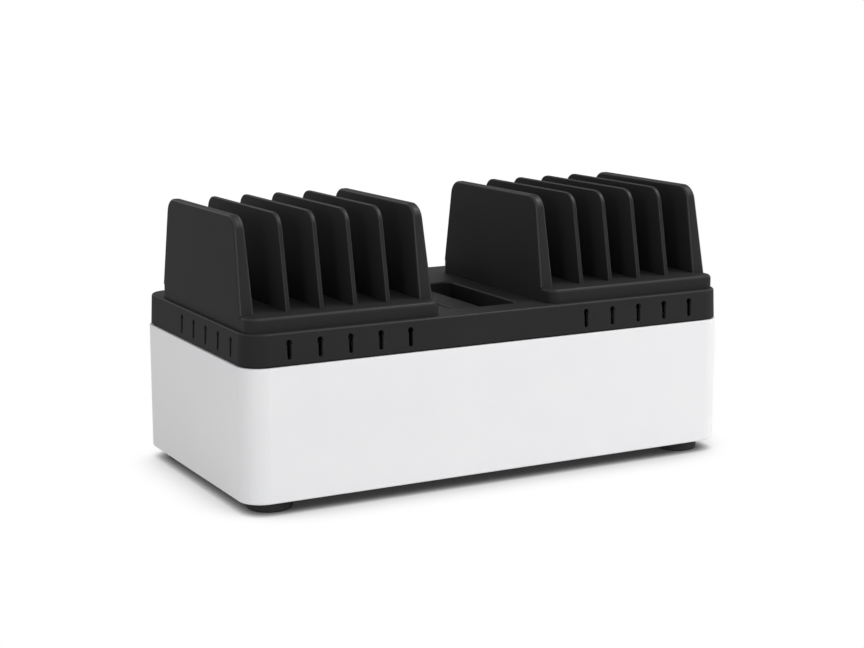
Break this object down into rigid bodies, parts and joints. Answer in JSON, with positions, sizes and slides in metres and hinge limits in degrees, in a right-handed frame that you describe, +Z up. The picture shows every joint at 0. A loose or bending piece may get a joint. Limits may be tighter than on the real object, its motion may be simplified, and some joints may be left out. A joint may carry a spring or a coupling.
{
  "type": "charging station organizer",
  "caption": "Charging station: white rounded tub with outlet strips inside, black lift-off lid with keyhole cable slots and a hand well, and two lift-out racks that hold tablets upright.",
  "frame": {"origin": "on the table under the middle of the station, at the bottom of its feet", "axes": "+X along the station to its right as seen from the front, +Y to its back, +Z up"},
  "size_m": [0.5, 0.254, 0.2561],
  "materials": {
    "white_abs": "fine satin texture",
    "black_abs": "fine satin texture",
    "grey_abs": "satin",
    "black_nylon": "matt",
    "black_gloss": "gloss",
    "rubber": "matt",
    "steel": "zinc plated",
    "brass": "bright",
    "lead_jacket": "matt"
  },
  "bodies": {
    "base": {"base_shell": "white_abs", "breaker_body": "black_nylon", "foot_front_left": "rubber", "foot_front_right": "rubber", "foot_rear_left": "rubber", "foot_rear_right": "rubber", "foot_screws": "steel", "inlet_pins": "brass", "lead_clip": "black_nylon", "left_busbars": "brass", "left_lead": "lead_jacket", "left_outlets": "black_nylon", "left_strip_body": "grey_abs", "left_strip_cover": "grey_abs", "mains_inlet": "black_nylon", "rear_plate": "steel", "rear_plate_screws": "steel", "right_busbars": "brass", "right_lead": "lead_jacket", "right_outlets": "black_nylon", "right_strip_body": "grey_abs", "right_strip_cover": "grey_abs", "strip_screws": "steel", "switch_frame": "black_nylon", "terminal_cover": "grey_abs"},
    "lid": {"lid_cover": "black_abs", "hand_well": "black_abs", "grip_bar": "black_abs", "lid_screws": "steel"},
    "left_tray": {"left_tray_base": "black_abs", "left_tray_bottom": "black_abs", "left_tray_divider_1": "black_abs", "left_tray_divider_2": "black_abs", "left_tray_divider_3": "black_abs", "left_tray_divider_4": "black_abs", "left_tray_inner_wall": "black_abs", "left_tray_outer_wall": "black_abs", "left_tray_pads": "rubber", "left_tray_screws": "steel"},
    "right_tray": {"right_tray_base": "black_abs", "right_tray_bottom": "black_abs", "right_tray_divider_1": "black_abs", "right_tray_divider_2": "black_abs", "right_tray_divider_3": "black_abs", "right_tray_divider_4": "black_abs", "right_tray_inner_wall": "black_abs", "right_tray_outer_wall": "black_abs", "right_tray_pads": "rubber", "right_tray_screws": "steel"},
    "rocker": {"switch_rocker": "black_gloss"},
    "button": {"breaker_button": "black_gloss"}
  },
  "joints": [
    {"name": "lid_lift", "type": "slide", "parent": "base", "child": "lid", "axis": [0, 0, 1], "range_m": [0, 0.12]},
    {"name": "left_tray_lift", "type": "slide", "parent": "lid", "child": "left_tray", "axis": [0, 0, 1], "range_m": [0, 0.12]},
    {"name": "right_tray_lift", "type": "slide", "parent": "lid", "child": "right_tray", "axis": [0, 0, 1], "range_m": [0, 0.12]},
    {"name": "rocker_tip", "type": "hinge", "parent": "base", "child": "rocker", "pos_m": [0.00675, 0.119, 0.086], "axis": [1, 0, 0], "range_deg": [0, 16]},
    {"name": "breaker_trip", "type": "slide", "parent": "base", "child": "button", "axis": [0, 1, 0], "range_m": [0, 0.003]}
  ]
}
